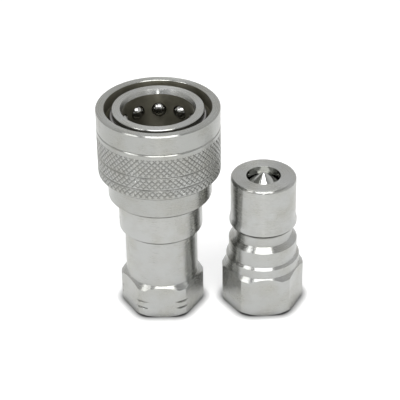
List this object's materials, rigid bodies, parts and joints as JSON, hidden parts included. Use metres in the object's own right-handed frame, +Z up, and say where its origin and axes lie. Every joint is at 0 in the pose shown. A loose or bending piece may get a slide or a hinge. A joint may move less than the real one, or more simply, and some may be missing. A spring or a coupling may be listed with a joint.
{
  "type": "quick disconnect coupler",
  "caption": "Hydraulic quick disconnect coupler: a socket with a ball-lock sleeve and its plug-in nipple, each with a sprung poppet valve and a female port on a hexagonal end.",
  "frame": {"origin": "centre of the bottom of the pair's box, on the surface that both port ends stand on", "axes": "+Z up along both halves' axes, +X from the socket to the nipple, -Y towards the viewer"},
  "size_m": [0.0594, 0.0352, 0.0654],
  "materials": {
    "zinc_plated_steel": "bright zinc plate over turned steel",
    "ball_steel": "polished",
    "spring_steel": "drawn wire",
    "guide_steel": "fine turned",
    "nitrile_rubber": "matt moulded",
    "ptfe": "waxy white"
  },
  "bodies": {
    "socket": {"socket_body": "zinc_plated_steel", "socket_adapter": "zinc_plated_steel", "sleeve_snap_ring": "spring_steel", "interface_oring": "nitrile_rubber", "backup_ring": "ptfe", "body_joint_oring": "nitrile_rubber", "socket_valve_guide": "guide_steel"},
    "sleeve_drawback": {"sleeve_spring": "spring_steel"},
    "sleeve": {"locking_sleeve": "zinc_plated_steel"},
    "ball_01": {"locking_ball_01": "ball_steel"},
    "ball_02": {"locking_ball_02": "ball_steel"},
    "ball_03": {"locking_ball_03": "ball_steel"},
    "ball_04": {"locking_ball_04": "ball_steel"},
    "ball_05": {"locking_ball_05": "ball_steel"},
    "ball_06": {"locking_ball_06": "ball_steel"},
    "ball_07": {"locking_ball_07": "ball_steel"},
    "ball_08": {"locking_ball_08": "ball_steel"},
    "ball_09": {"locking_ball_09": "ball_steel"},
    "ball_10": {"locking_ball_10": "ball_steel"},
    "socket_poppet": {"socket_poppet": "guide_steel", "socket_poppet_seal": "nitrile_rubber", "socket_poppet_spring": "spring_steel"},
    "nipple": {"nipple_body": "zinc_plated_steel", "nipple_valve_guide": "guide_steel", "nipple_guide_ring": "spring_steel"},
    "nipple_poppet": {"nipple_poppet": "guide_steel", "nipple_poppet_seal": "nitrile_rubber", "nipple_poppet_spring": "spring_steel"}
  },
  "joints": [
    {"name": "sleeve_slide", "type": "slide", "parent": "socket", "child": "sleeve_drawback", "axis": [0, 0, -1], "range_m": [0, 0.004], "stiffness_N_per_m": 6000, "springref_m": -0.004, "deforming": ["sleeve_spring"]},
    {"name": "sleeve_spin", "type": "hinge", "parent": "sleeve_drawback", "child": "sleeve", "pos_m": [-0.01213, 0, 0.05], "axis": [0, 0, 1], "continuous": true},
    {"name": "ball_01_slide", "type": "slide", "parent": "socket", "child": "ball_01", "axis": [0, 1, 0], "range_m": [0, 0.0011]},
    {"name": "ball_02_slide", "type": "slide", "parent": "socket", "child": "ball_02", "axis": [-0.5878, 0.809, 0], "range_m": [0, 0.0011]},
    {"name": "ball_03_slide", "type": "slide", "parent": "socket", "child": "ball_03", "axis": [-0.9511, 0.309, 0], "range_m": [0, 0.0011]},
    {"name": "ball_04_slide", "type": "slide", "parent": "socket", "child": "ball_04", "axis": [-0.9511, -0.309, 0], "range_m": [0, 0.0011]},
    {"name": "ball_05_slide", "type": "slide", "parent": "socket", "child": "ball_05", "axis": [-0.5878, -0.809, 0], "range_m": [0, 0.0011]},
    {"name": "ball_06_slide", "type": "slide", "parent": "socket", "child": "ball_06", "axis": [0, -1, 0], "range_m": [0, 0.0011]},
    {"name": "ball_07_slide", "type": "slide", "parent": "socket", "child": "ball_07", "axis": [0.5878, -0.809, 0], "range_m": [0, 0.0011]},
    {"name": "ball_08_slide", "type": "slide", "parent": "socket", "child": "ball_08", "axis": [0.9511, -0.309, 0], "range_m": [0, 0.0011]},
    {"name": "ball_09_slide", "type": "slide", "parent": "socket", "child": "ball_09", "axis": [0.9511, 0.309, 0], "range_m": [0, 0.0011]},
    {"name": "ball_10_slide", "type": "slide", "parent": "socket", "child": "ball_10", "axis": [0.5878, 0.809, 0], "range_m": [0, 0.0011]},
    {"name": "socket_poppet_slide", "type": "slide", "parent": "socket", "child": "socket_poppet", "axis": [0, 0, -1], "range_m": [0, 0.0032], "stiffness_N_per_m": 1500, "springref_m": -0.004, "deforming": ["socket_poppet_spring"]},
    {"name": "nipple_lift", "type": "slide", "parent": "socket", "child": "nipple", "axis": [0, 0, 1], "range_m": [0, 0.08]},
    {"name": "nipple_poppet_slide", "type": "slide", "parent": "nipple", "child": "nipple_poppet", "axis": [0, 0, -1], "range_m": [0, 0.0032], "stiffness_N_per_m": 1500, "springref_m": -0.004, "deforming": ["nipple_poppet_spring"]}
  ],
  "couplings": [
    {"joint": "ball_01_slide", "follows": "sleeve_slide", "ratio": 0.27},
    {"joint": "ball_02_slide", "follows": "sleeve_slide", "ratio": 0.27},
    {"joint": "ball_03_slide", "follows": "sleeve_slide", "ratio": 0.27},
    {"joint": "ball_04_slide", "follows": "sleeve_slide", "ratio": 0.27},
    {"joint": "ball_05_slide", "follows": "sleeve_slide", "ratio": 0.27},
    {"joint": "ball_06_slide", "follows": "sleeve_slide", "ratio": 0.27},
    {"joint": "ball_07_slide", "follows": "sleeve_slide", "ratio": 0.27},
    {"joint": "ball_08_slide", "follows": "sleeve_slide", "ratio": 0.27},
    {"joint": "ball_09_slide", "follows": "sleeve_slide", "ratio": 0.27},
    {"joint": "ball_10_slide", "follows": "sleeve_slide", "ratio": 0.27}
  ]
}
